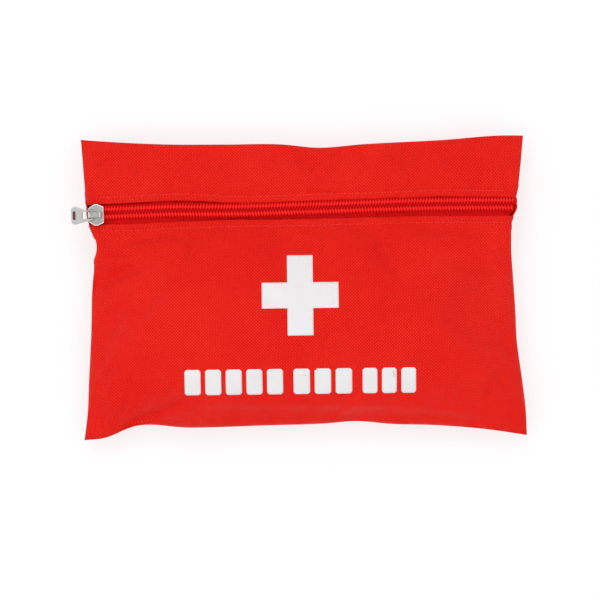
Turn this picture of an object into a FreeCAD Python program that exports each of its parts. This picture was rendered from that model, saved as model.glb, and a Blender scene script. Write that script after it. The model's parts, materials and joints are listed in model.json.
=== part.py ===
import FreeCAD, Part
import math
import os

# A soft zip pouch for first aid supplies, lying on its back. Millimetres. +Z is up, away from the table,
# +X runs along the zip, +Y goes towards the top seam. The origin is on the table under the pouch's middle.

V = FreeCAD.Vector

# ---------------------------------------------------------------- driving dimensions

# Outline of the pouch at its turned seams. The sides pull in between the corners.
HALF_WIDTH = 98.6
HALF_HEIGHT = 67.0
SIDE_PULL = 4.6
TOP_PULL = 3.0
BOTTOM_PULL = 6.0

# Heights above the table.
SEAM_Z = 10.0
CLOTH = 0.9
CLEAR = 0.05
CROWN_HEIGHT = 18.8

# The part of the back that lies flat on the table.
FOOT_HALF_WIDTH = 80.0
FOOT_HALF_HEIGHT = 48.0
FOOT_BOW = 2.0

# The zip runs a little off square.
ZIP_Y = 35.0
ZIP_TILT = 1.04
TAPE_TOP_Z = 12.3
TAPE_THICK = 0.6
TAPE_WIDTH = 14.0
TAPE_END = 94.6
MOUTH_HALF = 5.15
THREAD_LIFT = 0.3
COIL_GAP = 0.3
COIL_WIDTH = 2.7
COIL_HEIGHT = 2.2
CHAIN_START = -93.3
CHAIN_END = 94.0

# Slider, measured from its own middle.
SLIDER_X = -91.9
SLIDER_LENGTH = 7.0
SLIDER_HALF_WIDTH = 4.8
SLIDER_LEFT_HALF = 2.9
SLIDER_RIGHT_HALF = 3.6
PLATE_THICK = 1.1
CHAIN_CLEAR = 0.3
RAIL_THICK = 0.7
BRIDGE_LEFT = -3.4
BRIDGE_RIGHT = 2.4
BRIDGE_HALF_WIDTH = 1.2
BRIDGE_WALL = 0.8
BRIDGE_OPENING = 2.4

# Pull tab, measured from its swing axis.
PIVOT_X = -1.8
PIVOT_LIFT = 1.6
TAB_LENGTH = 9.5
TAB_THICK = 1.2
TAB_NECK_HALF = 2.85
TAB_HEAD_HALF = 4.25
TAB_DROOP = 13.0
TAB_BAR_RADIUS = 0.7
TAB_WINDOW_END = 5.0

# Seam bindings inside the turned seams.
BINDING_INSET = 5.0
BINDING_WIDTH = 5.0
BINDING_LOW_Z = 8.9
BINDING_THICK = 0.9

# White print on the front.
INK = 0.15
INK_LIFT = 0.05
CROSS_CENTRE = (-1.7, -3.4)
CROSS_SIZE = (33.9, 35.4)
CROSS_BAR = 11.4
BAR_ROW_CENTRE = (-2.1, -41.4)
BAR_HEIGHT = 11.3
BAR_GROUPS = ((5, 43.5), (3, 25.9), (3, 23.6))
BAR_SPACE = 2.0
GROUP_SPACE = 4.6

# Contents.
FLOOR_Z = 1.2
PACK_GAP = 0.25

os.makedirs("parts", exist_ok=True)


# ---------------------------------------------------------------- helpers

def save(name, shape):
    """Write one node's STEP file."""
    shape.exportStep("parts/" + name + ".step")


def box(x0, x1, y0, y1, z0, z1):
    """Box between two corners."""
    return Part.makeBox(x1 - x0, y1 - y0, z1 - z0, V(x0, y0, z0))


def soft_box(x0, x1, y0, y1, z0, z1, radius):
    """Box with its upright edges rounded."""
    block = box(x0, x1, y0, y1, z0, z1)
    upright = [e for e in block.Edges if abs(e.tangentAt(e.FirstParameter).z) > 0.99]
    return block.makeFillet(radius, upright)


def prism(points, z0, z1):
    """Straight-sided prism from an outline in plan."""
    corners = [V(x, y, z0) for x, y in points]
    return Part.Face(Part.makePolygon(corners + corners[:1])).extrude(V(0, 0, z1 - z0))


def on_zip(shape):
    """Move a shape made about the X axis, with the tape's top at zero, onto the zip's line."""
    placed = shape.copy()
    placed.rotate(V(0, 0, 0), V(0, 0, 1), ZIP_TILT)
    placed.translate(V(0, ZIP_Y, TAPE_TOP_Z))
    return placed


def zip_y(x):
    """Height of the zip's centre line up the pouch at x."""
    return ZIP_Y + math.tan(math.radians(ZIP_TILT)) * x


def smooth(t):
    """Smooth step from 0 to 1."""
    t = min(1.0, max(0.0, t))
    return t * t * (3.0 - 2.0 * t)


# ---------------------------------------------------------------- pouch outline and panels

def side_x(y):
    """Half width of the pouch at y."""
    return HALF_WIDTH - SIDE_PULL * (1.0 - (y / HALF_HEIGHT) ** 2)


def top_y(x):
    """Top seam at x."""
    return HALF_HEIGHT - TOP_PULL * (1.0 - (x / HALF_WIDTH) ** 2)


def bottom_y(x):
    """Bottom seam at x."""
    return -HALF_HEIGHT + BOTTOM_PULL * (1.0 - (x / HALF_WIDTH) ** 2)


def outline(half_x, half_y, side_pull, top_pull, bottom_pull, z):
    """Four arcs that meet in four corners. A positive pull draws a side in, a negative one bows it out."""
    corners = [V(-half_x, -half_y, z), V(half_x, -half_y, z), V(half_x, half_y, z), V(-half_x, half_y, z)]
    middles = [V(0, -half_y + bottom_pull, z), V(half_x - side_pull, 0, z),
               V(0, half_y - top_pull, z), V(-half_x + side_pull, 0, z)]
    arcs = []
    for i in range(4):
        arcs.append(Part.Arc(corners[i], middles[i], corners[(i + 1) % 4]).toShape())
    return Part.Wire(arcs)


def seam_outline(inset, z):
    """The seam line, moved in by an inset."""
    return outline(HALF_WIDTH - inset, HALF_HEIGHT - inset, SIDE_PULL, TOP_PULL, BOTTOM_PULL, z)


def back_panel():
    """Shallow tray: flat where it lies on the table, rising to the seams all round."""
    foot = outline(FOOT_HALF_WIDTH, FOOT_HALF_HEIGHT, -FOOT_BOW, -FOOT_BOW, -FOOT_BOW, 0.0)
    tray = Part.makeLoft([foot, seam_outline(0.0, SEAM_Z)], True, True)
    hollow = tray.copy()
    hollow.translate(V(0, 0, CLOTH))
    return tray.cut(hollow)


def sheet(rows):
    """Smooth surface through rows of points, as a face."""
    surface = Part.BSplineSurface()
    surface.interpolate(rows)
    return surface.toShape()


def swell(w):
    """Rise of the front between the bottom seam (0) and the zip (1): full in the middle, flat by the zip."""
    flat_from = 0.90
    rise = 1.0 - abs(2.0 * w / flat_from - 1.0) ** 2.6
    if w < flat_from / 2.0:
        return rise
    return 0.5 * (rise + math.hypot(rise, 0.1))


LOWER_ROWS = (0, 0.04, 0.1, 0.18, 0.28, 0.4, 0.52, 0.64, 0.74, 0.82, 0.87, 0.91, 0.94, 0.97, 1.0)
ACROSS = [i / 10.0 for i in range(-10, 11)]
PANEL_Z = TAPE_TOP_Z + CHAIN_CLEAR


def lower_sheet():
    """Underside of the lower front panel."""
    rows = []
    for w in LOWER_ROWS:
        row = []
        for u in ACROSS:
            low = bottom_y(u * HALF_WIDTH)
            y = low + w * (zip_y(u * HALF_WIDTH) - MOUTH_HALF - low)
            x = u * side_x(y)
            edge = SEAM_Z + CLEAR + (PANEL_Z - SEAM_Z - CLEAR) * smooth((w - 0.72) / 0.2)
            z = edge + CROWN_HEIGHT * swell(w) * (1.0 - abs(u) ** 3.5)
            row.append(V(x, y, z))
        rows.append(row)
    return sheet(rows)


def upper_sheet():
    """Underside of the strip above the zip: flat over the tape, then down to the top seam."""
    rows = []
    for w in (0, 0.1, 0.2, 0.3, 0.42, 0.56, 0.7, 0.85, 1.0):
        row = []
        for u in ACROSS:
            low = zip_y(u * HALF_WIDTH) + MOUTH_HALF
            y = low + w * (top_y(u * HALF_WIDTH) - low)
            x = u * side_x(y)
            fall = smooth((w - 0.3) / 0.75)
            puff = 1.6 * math.sin(math.pi * w) ** 2 * (1.0 - u * u)
            z = PANEL_Z - (PANEL_Z - SEAM_Z - 2 * CLEAR) * fall + puff * smooth((w - 0.2) / 0.4)
            row.append(V(x, y, z))
        rows.append(row)
    return sheet(rows)


def ink_film(points, lower_face):
    """Thin film that follows the front, cut to an outline in plan."""
    film = lower_face.copy()
    film.translate(V(0, 0, CLOTH + INK_LIFT))
    return film.extrude(V(0, 0, INK)).common(prism(points, 0.0, 60.0))


def binding_strips():
    """The four strips that wrap the raw edges, laid flat just inside the seams."""
    low_z = BINDING_LOW_Z
    outer = Part.Face(seam_outline(BINDING_INSET, low_z)).extrude(V(0, 0, BINDING_THICK))
    inner = Part.Face(seam_outline(BINDING_INSET + BINDING_WIDTH, low_z)).extrude(V(0, 0, BINDING_THICK))
    ring = outer.cut(inner)
    side = HALF_WIDTH - BINDING_INSET - BINDING_WIDTH - 2.0
    end = HALF_HEIGHT - BINDING_INSET - BINDING_WIDTH - 2.0
    reach = HALF_WIDTH + 5.0
    top_z = low_z + BINDING_THICK
    gap = 0.5
    return {
        "left_seam_binding": ring.common(box(-reach, -side + BINDING_WIDTH, -end + gap, end - gap, low_z, top_z)),
        "right_seam_binding": ring.common(box(side - BINDING_WIDTH, reach, -end + gap, end - gap, low_z, top_z)),
        "top_seam_binding": ring.common(box(-reach, reach, end, reach, low_z, top_z)),
        "bottom_seam_binding": ring.common(box(-reach, reach, -reach, -end, low_z, top_z)),
    }


# ---------------------------------------------------------------- zip chain

def zip_tape(sign):
    """One woven tape. Its inner corner at the left end is cut away, where the slider's post parts the tapes."""
    inner = COIL_GAP / 2.0
    y0, y1 = sorted((sign * inner, sign * (inner + TAPE_WIDTH)))
    tape = box(-TAPE_END, TAPE_END, y0, y1, -TAPE_THICK, 0.0)
    parting = box(-TAPE_END - 1.0, CHAIN_START, -1.3, 1.3, -TAPE_THICK - 1.0, 1.0)
    return on_zip(tape.cut(parting))


def coil(sign):
    """One nylon coil as the round-edged bar that its turns fill."""
    inner = COIL_GAP / 2.0
    y0, y1 = sorted((sign * inner, sign * (inner + COIL_WIDTH)))
    bar = box(CHAIN_START, CHAIN_END, y0, y1, CLEAR, CLEAR + COIL_HEIGHT)
    along = [e for e in bar.Edges if abs(e.tangentAt(e.FirstParameter).x) > 0.99]
    return on_zip(bar.makeFillet(0.7, along))


def topstitch(sign):
    """The visible thread of one stitch row, lying on the panel beside the mouth."""
    row = 2.6
    x0, x1 = -TAPE_END + 4.0, TAPE_END - 4.0
    y0, y1 = sorted((sign * (MOUTH_HALF + row), sign * (MOUTH_HALF + row + 0.5)))
    z0 = CHAIN_CLEAR + CLOTH + THREAD_LIFT
    return on_zip(box(x0, x1, y0, y1, z0, z0 + 0.3))


# ---------------------------------------------------------------- slider and pull

PLATE_LOW_Z = -TAPE_THICK - CHAIN_CLEAR - PLATE_THICK
PLATE_TOP_Z = CLEAR + COIL_HEIGHT + CHAIN_CLEAR + PLATE_THICK


def slider_plate(z0, z1, inset):
    """Six-sided plate, widest in its middle."""
    half = SLIDER_LENGTH / 2.0 - inset
    left, right, wide = SLIDER_LEFT_HALF - inset, SLIDER_RIGHT_HALF - inset, SLIDER_HALF_WIDTH - inset
    points = [(-half, -left), (-0.7, -wide), (0.7, -wide), (half, -right),
              (half, right), (0.7, wide), (-0.7, wide), (-half, left)]
    return prism(points, z0, z1)


def slider_body():
    """Two plates, the post that joins them at the leading end, and the rails that hold the chain."""
    top_low = PLATE_TOP_Z - PLATE_THICK
    bottom_high = PLATE_LOW_Z + PLATE_THICK
    top = slider_plate(top_low, PLATE_TOP_Z, 0.0)
    rim = [e for e in top.Edges if e.BoundBox.ZMin > PLATE_TOP_Z - 0.01]
    top = top.makeFillet(0.35, rim)
    bottom = slider_plate(PLATE_LOW_Z, bottom_high, 0.0)
    rails = slider_plate(CHAIN_CLEAR, top_low, 0.0).cut(slider_plate(CHAIN_CLEAR, top_low, RAIL_THICK))
    chain_way = box(-9.0, 9.0, -COIL_WIDTH - 0.45, COIL_WIDTH + 0.45, CHAIN_CLEAR - 1.0, top_low + 1.0)
    rails = rails.cut(chain_way)
    half = SLIDER_LENGTH / 2.0
    post = prism([(-half, -1.0), (-2.3, -1.0), (-1.7, -0.3), (-1.7, 0.3), (-2.3, 1.0), (-half, 1.0)],
                 bottom_high, top_low)
    body = top.fuse(bottom).fuse(rails).fuse(post).removeSplitter()
    body.translate(V(SLIDER_X, 0, 0))
    return on_zip(body)


def slider_bridge():
    """Arched strap on the top plate, with room under it for the pull's bar."""
    outer_z = PLATE_TOP_Z + BRIDGE_OPENING + BRIDGE_WALL
    arch = box(BRIDGE_LEFT, BRIDGE_RIGHT, -BRIDGE_HALF_WIDTH, BRIDGE_HALF_WIDTH, PLATE_TOP_Z, outer_z)
    shoulders = [e for e in arch.Edges
                 if abs(e.tangentAt(e.FirstParameter).y) > 0.99 and e.BoundBox.ZMin > outer_z - 0.01]
    arch = arch.makeFillet(0.75, shoulders)
    opening = box(BRIDGE_LEFT + BRIDGE_WALL, BRIDGE_RIGHT - BRIDGE_WALL, -5.0, 5.0,
                  PLATE_TOP_Z - 1.0, PLATE_TOP_Z + BRIDGE_OPENING)
    arch = arch.cut(opening)
    arch.translate(V(SLIDER_X, 0, 0))
    return on_zip(arch)


def pull_tab():
    """Pear-shaped pull. Its bar passes under the bridge, its window clears the bridge, its slot takes a cord."""
    low, high = -TAB_THICK / 2.0, TAB_THICK / 2.0
    neck, head, tip = TAB_NECK_HALF, TAB_HEAD_HALF, -TAB_LENGTH
    shoulder = -TAB_LENGTH + 2.6
    edges = [
        Part.LineSegment(V(TAB_BAR_RADIUS, -neck, low), V(-TAB_WINDOW_END + 0.4, -neck, low)).toShape(),
        Part.LineSegment(V(-TAB_WINDOW_END + 0.4, -neck, low), V(shoulder, -head, low)).toShape(),
        Part.Arc(V(shoulder, -head, low), V(tip, 0, low), V(shoulder, head, low)).toShape(),
        Part.LineSegment(V(shoulder, head, low), V(-TAB_WINDOW_END + 0.4, neck, low)).toShape(),
        Part.LineSegment(V(-TAB_WINDOW_END + 0.4, neck, low), V(TAB_BAR_RADIUS, neck, low)).toShape(),
        Part.LineSegment(V(TAB_BAR_RADIUS, neck, low), V(TAB_BAR_RADIUS, -neck, low)).toShape(),
    ]
    plate = Part.Face(Part.Wire(edges)).extrude(V(0, 0, TAB_THICK))
    eye_half = BRIDGE_HALF_WIDTH + 0.25
    window = box(-TAB_WINDOW_END, TAB_BAR_RADIUS + 1.0, -eye_half, eye_half, low - 1.0, high + 1.0)
    slot = soft_box(-8.1, -6.6, -2.4, 2.4, low - 1.0, high + 1.0, 0.7)
    plate = plate.cut(window).cut(slot)
    bar = Part.makeCylinder(TAB_BAR_RADIUS, 2 * TAB_NECK_HALF, V(0, -TAB_NECK_HALF, 0), V(0, 1, 0))
    tab = plate.fuse(bar).removeSplitter()
    tab.rotate(V(0, 0, 0), V(0, 1, 0), -TAB_DROOP)
    tab.translate(V(SLIDER_X + PIVOT_X, 0, PLATE_TOP_Z + PIVOT_LIFT))
    return on_zip(tab)


# ---------------------------------------------------------------- print on the front

def plus_points():
    """Corners of the plus."""
    cx, cy = CROSS_CENTRE
    half_x, half_y, bar = CROSS_SIZE[0] / 2.0, CROSS_SIZE[1] / 2.0, CROSS_BAR / 2.0
    corners = [(-bar, -half_y), (bar, -half_y), (bar, -bar), (half_x, -bar), (half_x, bar), (bar, bar),
               (bar, half_y), (-bar, half_y), (-bar, bar), (-half_x, bar), (-half_x, -bar), (-bar, -bar)]
    return [(cx + x, cy + y) for x, y in corners]


def bar_blocks():
    """Corners of the plain blocks, in three groups along one row."""
    total = sum(length for count, length in BAR_GROUPS) + GROUP_SPACE * (len(BAR_GROUPS) - 1)
    start = BAR_ROW_CENTRE[0] - total / 2.0
    low, high = BAR_ROW_CENTRE[1] - BAR_HEIGHT / 2.0, BAR_ROW_CENTRE[1] + BAR_HEIGHT / 2.0
    blocks = []
    for count, length in BAR_GROUPS:
        pitch = (length + BAR_SPACE) / count
        for i in range(count):
            x0 = start + i * pitch
            x1 = x0 + pitch - BAR_SPACE
            blocks.append([(x0, low), (x1, low), (x1, high), (x0, high)])
        start += length + GROUP_SPACE
    return blocks


# ---------------------------------------------------------------- contents

def stack(count, x0, x1, y0, y1, z0, thick, radius):
    """Like packets on top of each other."""
    packets = []
    for i in range(count):
        low = z0 + i * (thick + PACK_GAP)
        packets.append(soft_box(x0, x1, y0, y1, low, low + thick, radius))
    return packets


def bandage_roll():
    """Conforming bandage rolled tight, lying along Y on the left."""
    radius = 9.4
    return Part.makeCylinder(radius, 44.0, V(-60.5, -43.0, FLOOR_Z + radius), V(0, 1, 0))


def tape_roll():
    """Adhesive tape wound on a plastic core, lying flat on the right."""
    centre = V(60.0, -19.0, FLOOR_Z)
    height = 12.5
    bore = Part.makeCylinder(8.6, height, centre)
    core = Part.makeCylinder(10.0, height, centre).cut(bore)
    winding = Part.makeCylinder(18.0, height, centre).cut(Part.makeCylinder(10.05, height, centre))
    return core, winding


def tweezers(z0):
    """Two sprung arms that meet at the left end."""
    length, thick = 78.0, 1.0
    arms = []
    for sign in (-1, 1):
        heel, tip = V(-44.0, 9.0, z0), V(-44.0 + length, 9.0, z0)
        wide = 3.6
        points = [(heel.x, 0.0), (heel.x + 8.0, 0.0), (tip.x, wide - 0.9), (tip.x, wide - 0.2),
                  (heel.x + 26.0, 3.2), (heel.x, thick)]
        arms.append(prism([(x, heel.y + sign * y) for x, y in points], z0, z0 + 3.0))
    return arms[0].fuse(arms[1]).removeSplitter()


def safety_pin(x, y, z):
    """Closed pin: one bent wire with its two legs side by side, and a pressed cap over their ends."""
    wire, length, spread, axis_z = 0.45, 24.0, 2.4, z + 1.0
    bend = Part.Arc(V(x, y, axis_z), V(x - spread / 2.0, y + spread / 2.0, axis_z), V(x, y + spread, axis_z))
    path = Part.Wire([
        Part.LineSegment(V(x + length, y, axis_z), V(x, y, axis_z)).toShape(),
        bend.toShape(),
        Part.LineSegment(V(x, y + spread, axis_z), V(x + length, y + spread, axis_z)).toShape(),
    ])
    section = Part.Wire([Part.makeCircle(wire, V(x + length, y, axis_z), V(1, 0, 0))])
    legs = path.makePipeShell([section], True, True)
    cap = soft_box(x + length - 4.0, x + length + 1.0, y - 1.1, y + spread + 1.1, z, z + 2.0, 0.9)
    return legs.fuse(cap)


# ---------------------------------------------------------------- build and save

lower_face = lower_sheet()
upper_face = upper_sheet()

save("back_panel", back_panel())
save("front_lower_panel", lower_face.extrude(V(0, 0, CLOTH)))
save("front_upper_panel", upper_face.extrude(V(0, 0, CLOTH)))
for name, strip in binding_strips().items():
    save(name, strip)

save("lower_zip_tape", zip_tape(-1))
save("upper_zip_tape", zip_tape(1))
save("lower_coil", coil(-1))
save("upper_coil", coil(1))
save("lower_topstitch", topstitch(-1))
save("upper_topstitch", topstitch(1))
save("slider_body", slider_body())
save("slider_bridge", slider_bridge())
save("pull_tab", pull_tab())

save("printed_cross", ink_film(plus_points(), lower_face))
save("printed_bars", Part.makeCompound([ink_film(block, lower_face) for block in bar_blocks()]))

LEAFLET_Z = FLOOR_Z
FOIL_Z = LEAFLET_Z + 0.7 + PACK_GAP
TRIANGLE_Z = FOIL_Z + 8.4 + PACK_GAP
STRIP_Z = TRIANGLE_Z + 4.6 + PACK_GAP
GAUZE_Z = STRIP_Z + 3 * (0.6 + PACK_GAP)
WIPE_Z = GAUZE_Z + 3 * (1.4 + PACK_GAP)

save("guide_leaflet", box(-47.0, 36.0, -48.0, 12.0, LEAFLET_Z, LEAFLET_Z + 0.7))
save("foil_blanket_pack", soft_box(-48.0, 37.0, -49.0, 13.0, FOIL_Z, FOIL_Z + 8.4, 4.0))
save("triangular_bandage_pack", soft_box(-46.0, 34.0, -47.0, 3.0, TRIANGLE_Z, TRIANGLE_Z + 4.6, 4.0))
save("plaster_strips", Part.makeCompound(
    stack(3, -42.0, 30.0, -42.5, -23.5, STRIP_Z, 0.6, 1.0) + stack(3, -42.0, 30.0, -22.0, -3.0, STRIP_Z, 0.6, 1.0)))
save("gauze_pads", Part.makeCompound(stack(3, -39.0, 29.0, -42.0, 0.0, GAUZE_Z, 1.4, 2.0)))
save("alcohol_wipes", Part.makeCompound(
    stack(3, -38.0, -6.0, -36.0, -6.0, WIPE_Z, 0.9, 1.0) + stack(3, -4.0, 28.0, -36.0, -6.0, WIPE_Z, 0.9, 1.0)))
save("bandage_roll", bandage_roll())
core, winding = tape_roll()
save("tape_core", core)
save("tape_winding", winding)
save("tweezers", tweezers(TRIANGLE_Z))
save("safety_pins", Part.makeCompound([safety_pin(46.0, -34.0 + 7.5 * i, FLOOR_Z + 12.9) for i in range(4)]))
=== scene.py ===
import json
import math

import bmesh
import bpy
import numpy as np
from mathutils import Matrix, Vector, noise
from mathutils.bvhtree import BVHTree


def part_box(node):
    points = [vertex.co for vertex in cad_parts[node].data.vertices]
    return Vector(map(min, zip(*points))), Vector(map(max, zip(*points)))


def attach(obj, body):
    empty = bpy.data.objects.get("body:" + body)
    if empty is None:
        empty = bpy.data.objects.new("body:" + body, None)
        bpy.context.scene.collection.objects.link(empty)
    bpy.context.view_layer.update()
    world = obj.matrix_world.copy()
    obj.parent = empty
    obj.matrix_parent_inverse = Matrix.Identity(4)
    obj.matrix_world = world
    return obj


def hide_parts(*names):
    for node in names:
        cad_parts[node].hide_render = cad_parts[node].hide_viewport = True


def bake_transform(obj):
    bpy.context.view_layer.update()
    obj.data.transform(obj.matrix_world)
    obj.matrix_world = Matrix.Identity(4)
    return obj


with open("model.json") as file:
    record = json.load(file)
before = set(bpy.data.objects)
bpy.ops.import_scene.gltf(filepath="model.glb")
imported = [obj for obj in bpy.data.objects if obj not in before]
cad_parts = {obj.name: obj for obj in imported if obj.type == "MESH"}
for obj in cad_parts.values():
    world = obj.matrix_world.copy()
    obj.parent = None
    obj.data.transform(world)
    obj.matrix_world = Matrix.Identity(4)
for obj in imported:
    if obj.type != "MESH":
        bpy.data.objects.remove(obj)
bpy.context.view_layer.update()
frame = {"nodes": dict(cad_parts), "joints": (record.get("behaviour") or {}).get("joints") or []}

# ---- Camera
# It hangs high over the pouch, square to the printed front, and is turned a fraction off level.
# A long lens keeps the sides upright. The colours are shown plainly, with no film look.

MM = 0.001
VIEW_CENTRE = (-1.8 * MM, -5.5 * MM)
VIEW_WIDTH = 267 * MM
CAMERA_HEIGHT = 1.8
CAMERA_ROLL = -0.7
SENSOR = 36.0


def placed(name, data):
    """An object for some data, put in the scene."""
    piece = bpy.data.objects.new(name, data)
    bpy.context.scene.collection.objects.link(piece)
    return piece


camera_data = bpy.data.cameras.new("camera")
camera_data.sensor_width = SENSOR
camera_data.lens = SENSOR * (CAMERA_HEIGHT - 10 * MM) / VIEW_WIDTH
camera_data.clip_end = 20.0
camera = placed("camera", camera_data)
camera.location = (*VIEW_CENTRE, CAMERA_HEIGHT)
camera.rotation_euler = (0, 0, math.radians(CAMERA_ROLL))
bpy.context.scene.camera = camera
bpy.context.scene.view_settings.view_transform = "Standard"


# ---- The pouch's cloth, before it is cut apart
# Two fronts and a back of coated polyester, sewn round the edge, turned out and filled. The seams pull in
# between the corners and wander where the cloth is gathered, so each line is a short row of points in
# millimetres: how far along the side, then how far out it lies.

LEFT_SEAM = [(-66.8, -98.6), (-55.7, -97.0), (-41.5, -96.2), (-20, -94.9), (2.4, -94.0), (12, -92.9),
             (21, -92.0), (27, -94.3), (32, -96.0), (38, -96.3), (51.8, -97.3), (67.0, -98.6)]
RIGHT_SEAM = [(-66.9, 98.6), (-54.6, 98.0), (-40.3, 96.4), (-24, 94.4), (-11.9, 94.0), (2.3, 93.2),
              (19.6, 92.4), (30.3, 93.3), (34.5, 95.3), (38.8, 94.5), (42, 95.3), (52.2, 96.8), (66.6, 98.5)]
TOP_SEAM = [(-98.6, 67.0), (-80, 65.5), (-61, 64.5), (-35, 64.1), (-8.6, 63.8), (6.5, 62.2), (27, 63.5),
            (63, 65.0), (90, 66.7), (98.5, 66.6)]
BOTTOM_SEAM = [(-98.6, -66.8), (-90, -66.0), (-76, -60.8), (-52, -61.7), (-17, -61.1), (8, -60.6),
               (22.9, -59.7), (38, -61.1), (57.8, -61.9), (82.6, -64.3), (98.6, -66.9)]

COLUMNS = 84
LOWER_ROWS = 38
MOUTH_ROWS = 4
UPPER_ROWS = 12
ROWS = LOWER_ROWS + MOUTH_ROWS + UPPER_ROWS
ZIP_WAVE = [(-98, 0.7), (-73, 0.9), (-58, 1.0), (-45, 0.6), (-30, 0.25), (0, 0.2), (60, 0.2), (78, -0.2),
            (92, -0.65), (98, -0.8)]
HEM_LOW = [(-98, 5.2), (-73, 5.7), (-58, 5.5), (-30, 4.7), (-10, 5.1), (25, 5.4), (60, 5.6), (98, 5.7)]
HEM_HIGH = [(-98, 4.2), (-73, 4.5), (-46, 4.6), (-32, 3.6), (0, 3.5), (50, 3.5), (61, 3.8), (78, 3.5),
            (98, 3.4)]
SEAM_HEIGHT = 10.0
HEM_HEIGHT = 13.3
CROWN = 17.6
FOOT = (79.0, 47.0)

zip_axis = next(j for j in frame["joints"] if j["name"] == "slider_travel")["axis"]
slider_low, slider_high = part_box("slider_body")
zip_slope = zip_axis[1] / zip_axis[0]
zip_start = (slider_low + slider_high) / 2 / MM


def through(points):
    """Smooth line through points: gives the second number for any first number."""
    at = np.array([p[0] for p in points], float)
    out = np.array([p[1] for p in points], float)
    slope = np.gradient(out, at)

    def line(x):
        i = np.clip(np.searchsorted(at, x) - 1, 0, len(at) - 2)
        span = at[i + 1] - at[i]
        t = np.clip((x - at[i]) / span, 0, 1)
        rise = (2 * t ** 3 - 3 * t ** 2 + 1) * out[i] + (3 * t ** 2 - 2 * t ** 3) * out[i + 1]
        return rise + span * ((t ** 3 - 2 * t ** 2 + t) * slope[i] + (t ** 3 - t ** 2) * slope[i + 1])

    return line


zip_wave, hem_low, hem_high = (through(side) for side in (ZIP_WAVE, HEM_LOW, HEM_HIGH))


def zip_line(x):
    """Where the zip's centre line lies up the pouch at x, in millimetres."""
    return zip_start.y + zip_slope * (x - zip_start.x) + zip_wave(x)


def smooth(t):
    """Smooth step from 0 to 1."""
    t = np.clip(t, 0, 1)
    return t * t * (3 - 2 * t)


left, right, top, bottom = (through(side) for side in (LEFT_SEAM, RIGHT_SEAM, TOP_SEAM, BOTTOM_SEAM))
across = np.linspace(0, 1, COLUMNS + 1)[None, :].repeat(ROWS + 1, 0)
row_number = np.arange(ROWS + 1)[:, None].repeat(COLUMNS + 1, 1)
share_low = np.clip(row_number / LOWER_ROWS, 0, 1)
share_mouth = np.clip((row_number - LOWER_ROWS) / MOUTH_ROWS, 0, 1)
share_up = np.clip((row_number - LOWER_ROWS - MOUTH_ROWS) / UPPER_ROWS, 0, 1)
plan_y = np.linspace(-64, 64, ROWS + 1)[:, None].repeat(COLUMNS + 1, 1)
for settle in range(4):
    plan_x = left(plan_y) + across * (right(plan_y) - left(plan_y))
    low_edge, high_edge = zip_line(plan_x) - hem_low(plan_x), zip_line(plan_x) + hem_high(plan_x)
    plan_y = (bottom(plan_x) + share_low * (low_edge - bottom(plan_x)) + share_mouth * (high_edge - low_edge)
              + share_up * (top(plan_x) - high_edge))

u = 2 * across - 1
lower_rise = 1 - np.abs(2 * share_low / 0.93 - 1) ** np.where(share_low < 0.46, 3.4, 2.3)
lower_rise = np.where(share_low < 0.46, lower_rise, 0.5 * (lower_rise + np.hypot(lower_rise, 0.12)))
lower_rise *= (share_mouth == 0) * (1 - np.abs(u) ** 3.6)
to_hem = smooth((share_low - 0.72) / 0.24) * (1 - smooth((share_up - 0.25) / 0.75))
corner = np.abs(u) ** 8 * np.abs(2 * row_number / ROWS - 1) ** 8
seam_height = SEAM_HEIGHT - 3.0 * corner
puff = 1.8 * np.sin(math.pi * share_up) ** 2 * (1 - u * u)
front_z = seam_height + (HEM_HEIGHT - SEAM_HEIGHT) * to_hem + CROWN * lower_rise + puff

beyond = np.maximum((np.abs(plan_x) - FOOT[0]) / (97 - FOOT[0]), (np.abs(plan_y) - FOOT[1]) / (65 - FOOT[1]))
back_z = 0.7 + (seam_height - 0.7) * np.clip(beyond, 0, 1) ** 0.9
on_seam = (row_number == 0) | (row_number == ROWS) | (across == 0) | (across == 1)
back_z = np.where(on_seam, front_z, np.minimum(back_z, front_z - 0.3))

front_index = np.arange((ROWS + 1) * (COLUMNS + 1)).reshape(ROWS + 1, COLUMNS + 1)
back_index = front_index.copy()
back_index[1:-1, 1:-1] = front_index.size + np.arange((ROWS - 1) * (COLUMNS - 1)).reshape(ROWS - 1, -1)
front_place = np.stack([plan_x, plan_y, front_z], -1) * MM
back_place = np.stack([plan_x, plan_y, back_z], -1) * MM


def quads(index):
    """The four corners of each cell of a grid of vertex numbers."""
    cells = np.stack([index[:-1, :-1], index[:-1, 1:], index[1:, 1:], index[1:, :-1]], -1)
    return cells.reshape(-1, 4).tolist()


def mesh_piece(name, places, faces):
    """A new smooth-shaded object from vertex places and faces."""
    mesh = bpy.data.meshes.new(name)
    mesh.from_pydata(np.asarray(places, float).reshape(-1, 3).tolist(), [], faces)
    mesh.polygons.foreach_set("use_smooth", [True] * len(mesh.polygons))
    mesh.update()
    return placed(name, mesh)


CLOTH_STEPS = 26
CLOTH_CAP = 6.5 * MM
FILLING_GIVE = 0.9
CLOTH_SPARE = -0.014
CLOTH_PRESSURE = 4.0


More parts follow.
